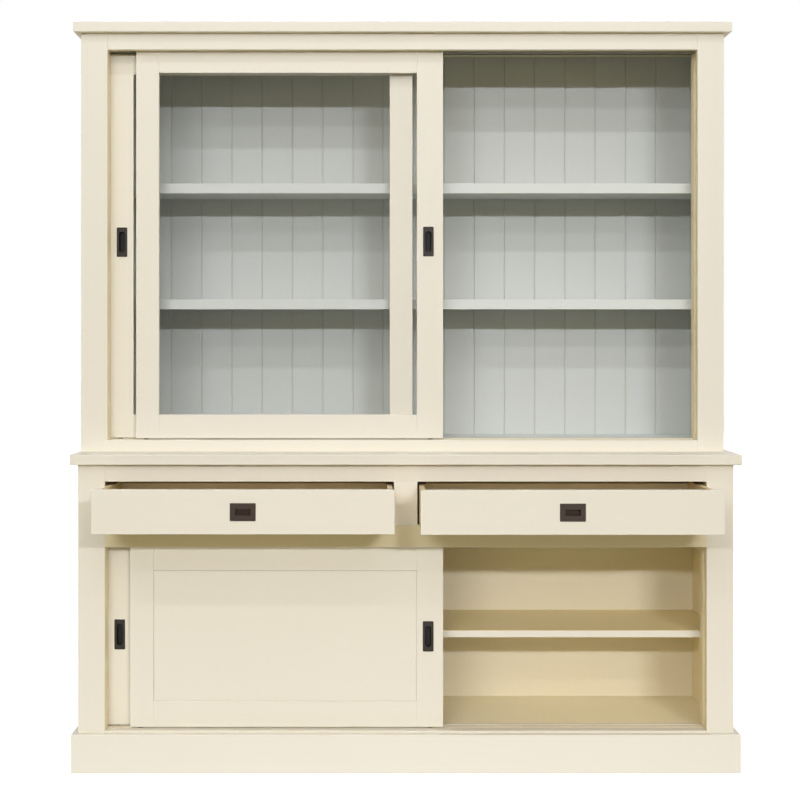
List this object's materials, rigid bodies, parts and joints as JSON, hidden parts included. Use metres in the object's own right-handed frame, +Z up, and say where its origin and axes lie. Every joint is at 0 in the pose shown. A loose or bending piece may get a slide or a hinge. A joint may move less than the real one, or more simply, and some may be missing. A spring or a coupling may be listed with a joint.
{
  "type": "dresser with hutch",
  "caption": "Wide dresser: a base with pull-out drawers over sliding panelled doors, and a shelved hutch behind sliding glazed doors.",
  "frame": {"origin": "floor level, at the middle of the box round the whole dresser as it stands, with both drawers pulled out", "axes": "+X to the right seen from the front, +Y from the front to the back, +Z up"},
  "size_m": [2.008, 0.6474, 2.2575],
  "materials": {
    "cream_paint": "cream paint on wood, satin",
    "grey_paint": "pale grey paint on wood, matt",
    "bare_wood": "unpainted softwood and plywood",
    "clear_glass": "clear window glass",
    "dark_metal": "dark bronze lacquer",
    "black_nylon": "black nylon",
    "track_plastic": "ivory plastic strip",
    "pin_metal": "plain steel"
  },
  "bodies": {
    "cabinet": {"base_sides": "cream_paint", "base_left_post": "cream_paint", "base_right_post": "cream_paint", "base_top_rail": "cream_paint", "base_middle_rail": "cream_paint", "base_centre_stile": "cream_paint", "base_sill": "cream_paint", "base_floor": "cream_paint", "base_mid_panel": "cream_paint", "base_back": "cream_paint", "base_shelf": "cream_paint", "drawer_divider": "bare_wood", "drawer_runners": "bare_wood", "drawer_kickers": "bare_wood", "counter": "cream_paint", "plinth_front": "cream_paint", "plinth_sides": "cream_paint", "under_boards": "bare_wood", "hutch_sides": "cream_paint", "hutch_left_post": "cream_paint", "hutch_right_post": "cream_paint", "hutch_top_rail": "cream_paint", "hutch_sill": "cream_paint", "hutch_floor": "grey_paint", "hutch_back": "grey_paint", "hutch_shelves": "grey_paint", "hutch_top_board": "cream_paint", "head_guides": "cream_paint", "sill_tracks": "track_plastic", "shelf_pins": "pin_metal"},
    "hutch_front_door": {"hutch_front_door_stiles": "cream_paint", "hutch_front_door_rails": "cream_paint", "hutch_front_door_pull": "dark_metal", "hutch_front_door_glides": "black_nylon", "hutch_front_door_glass": "clear_glass", "hutch_front_door_glass_beads": "cream_paint"},
    "hutch_rear_door": {"hutch_rear_door_stiles": "cream_paint", "hutch_rear_door_rails": "cream_paint", "hutch_rear_door_pull": "dark_metal", "hutch_rear_door_glides": "black_nylon", "hutch_rear_door_glass": "clear_glass", "hutch_rear_door_glass_beads": "cream_paint"},
    "base_front_door": {"base_front_door_stiles": "cream_paint", "base_front_door_rails": "cream_paint", "base_front_door_pull": "dark_metal", "base_front_door_glides": "black_nylon", "base_front_door_panel": "cream_paint"},
    "base_rear_door": {"base_rear_door_stiles": "cream_paint", "base_rear_door_rails": "cream_paint", "base_rear_door_pull": "dark_metal", "base_rear_door_glides": "black_nylon", "base_rear_door_panel": "cream_paint"},
    "left_drawer": {"left_drawer_front": "cream_paint", "left_drawer_box": "cream_paint", "left_drawer_bottom": "bare_wood", "left_drawer_pull": "dark_metal"},
    "right_drawer": {"right_drawer_front": "cream_paint", "right_drawer_box": "cream_paint", "right_drawer_bottom": "bare_wood", "right_drawer_pull": "dark_metal"}
  },
  "joints": [
    {"name": "hutch_front_door_slide", "type": "slide", "parent": "cabinet", "child": "hutch_front_door", "axis": [1, 0, 0], "range_m": [-0.0812, 0.7848]},
    {"name": "hutch_rear_door_slide", "type": "slide", "parent": "cabinet", "child": "hutch_rear_door", "axis": [1, 0, 0], "range_m": [0, 0.866]},
    {"name": "base_front_door_slide", "type": "slide", "parent": "cabinet", "child": "base_front_door", "axis": [1, 0, 0], "range_m": [-0.0691, 0.7969]},
    {"name": "base_rear_door_slide", "type": "slide", "parent": "cabinet", "child": "base_rear_door", "axis": [1, 0, 0], "range_m": [0, 0.866]},
    {"name": "left_drawer_slide", "type": "slide", "parent": "cabinet", "child": "left_drawer", "axis": [0, -1, 0], "range_m": [-0.206, 0.094]},
    {"name": "right_drawer_slide", "type": "slide", "parent": "cabinet", "child": "right_drawer", "axis": [0, -1, 0], "range_m": [-0.216, 0.084]}
  ]
}
